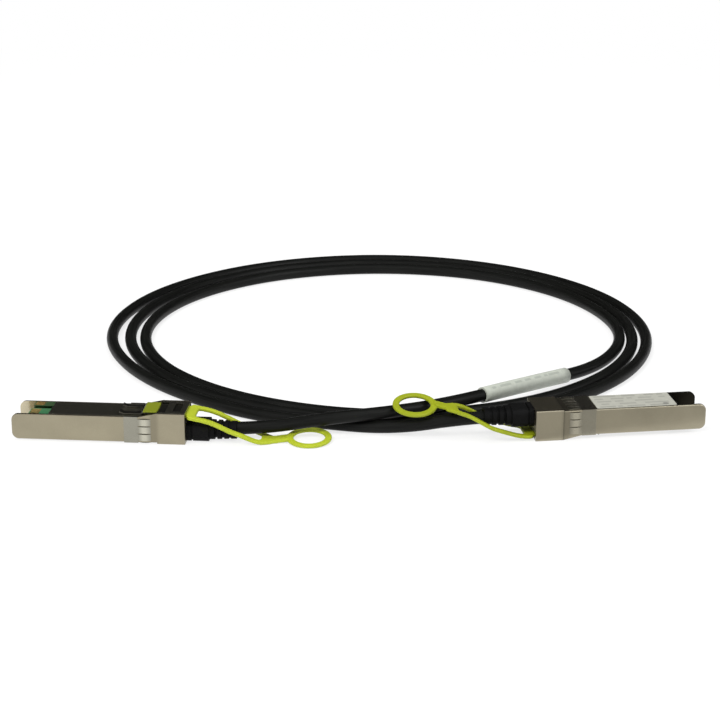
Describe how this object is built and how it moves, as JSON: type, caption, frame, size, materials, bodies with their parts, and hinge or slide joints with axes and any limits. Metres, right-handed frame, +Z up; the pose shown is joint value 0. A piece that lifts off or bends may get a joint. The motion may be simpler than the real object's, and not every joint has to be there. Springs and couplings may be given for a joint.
{
  "type": "direct attach copper cable",
  "caption": "Direct attach copper cable: pluggable metal ends with pull-strap latches on a black twin-axial cable lying in a loose coil.",
  "frame": {"origin": "on the floor, at the middle of the box round both plugs and their straps", "axes": "+X runs from the left plug to the right plug, +Y runs from the plugs to the coil, +Z is up"},
  "size_m": [0.2249, 0.2193, 0.0111],
  "materials": {
    "shell_metal": "satin nickel plating on cast metal",
    "cover_metal": "satin nickel plating on cast metal",
    "rivet_steel": "satin",
    "board_green": "solder mask",
    "pad_gold": "gold plating",
    "chip_black": "moulded",
    "capacitor_tan": "ceramic",
    "wire_insulation": "extruded insulation",
    "crimp_metal": "satin",
    "boot_black": "fine moulded matt",
    "collar_steel": "stamped spring steel",
    "latch_steel": "stamped steel",
    "spring_steel": "folded spring steel",
    "strap_lime": "moulded flexible plastic",
    "label_grey": "printed film",
    "jacket_black": "satin extruded jacket",
    "sleeve_grey": "printed film sleeve"
  },
  "bodies": {
    "root": {"left_top_shell": "shell_metal", "left_bottom_shell": "cover_metal", "left_cover_rivets": "rivet_steel", "left_paddle_board": "board_green", "left_contact_pads": "pad_gold", "left_memory_chip": "chip_black", "left_board_capacitors": "capacitor_tan", "left_signal_wires": "wire_insulation", "left_crimp_ring": "crimp_metal", "left_strain_relief": "boot_black", "left_emi_collar": "collar_steel", "left_latch_springs": "spring_steel", "right_top_shell": "shell_metal", "right_bottom_shell": "cover_metal", "right_cover_rivets": "rivet_steel", "right_paddle_board": "board_green", "right_contact_pads": "pad_gold", "right_memory_chip": "chip_black", "right_board_capacitors": "capacitor_tan", "right_signal_wires": "wire_insulation", "right_crimp_ring": "crimp_metal", "right_strain_relief": "boot_black", "right_emi_collar": "collar_steel", "right_latch_springs": "spring_steel", "right_label": "label_grey", "cable": "jacket_black", "cable_label_sleeve": "sleeve_grey"},
    "left_latch": {"left_latch_slider": "latch_steel", "left_pull_strap": "strap_lime"},
    "right_latch": {"right_latch_slider": "latch_steel", "right_pull_strap": "strap_lime"}
  },
  "joints": [
    {"name": "left_latch_slide", "type": "slide", "parent": "root", "child": "left_latch", "axis": [0.9963, -0.0854, 0], "range_m": [0, 0.0023], "stiffness_N_per_m": 500, "springref_m": -0.0006, "deforming": ["left_latch_springs"]},
    {"name": "right_latch_slide", "type": "slide", "parent": "root", "child": "right_latch", "axis": [-0.9895, -0.1444, 0], "range_m": [0, 0.0023], "stiffness_N_per_m": 500, "springref_m": -0.0006, "deforming": ["right_latch_springs"]}
  ]
}
